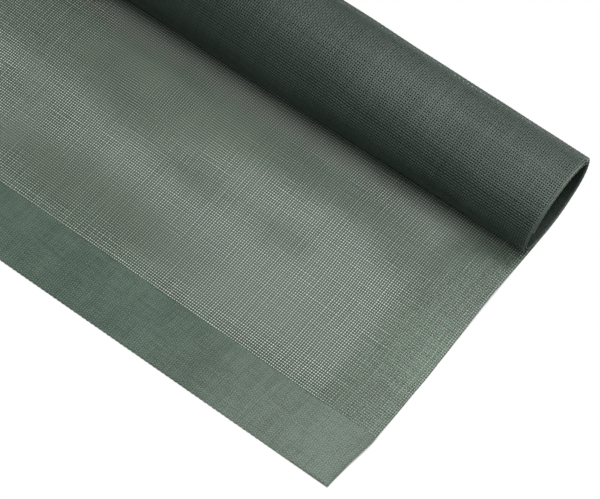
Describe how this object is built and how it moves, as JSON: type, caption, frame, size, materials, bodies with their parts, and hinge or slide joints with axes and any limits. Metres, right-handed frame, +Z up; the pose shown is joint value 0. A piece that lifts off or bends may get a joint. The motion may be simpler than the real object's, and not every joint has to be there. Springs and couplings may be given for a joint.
{
  "type": "windbreak netting",
  "caption": "Cut length of woven windbreak netting with a close-woven selvedge band, laid flat with its far side wound into a loose hollow roll.",
  "frame": {"origin": "middle of the bounding box, on the surface that the netting lies on", "axes": "+X along the warp, the selvedge and the roll; +Y from the selvedge towards the roll; +Z up"},
  "size_m": [0.4046, 0.2434, 0.0488],
  "materials": {
    "netting": "satin"
  },
  "bodies": {
    "root": {"netting": "netting"}
  },
  "joints": []
}
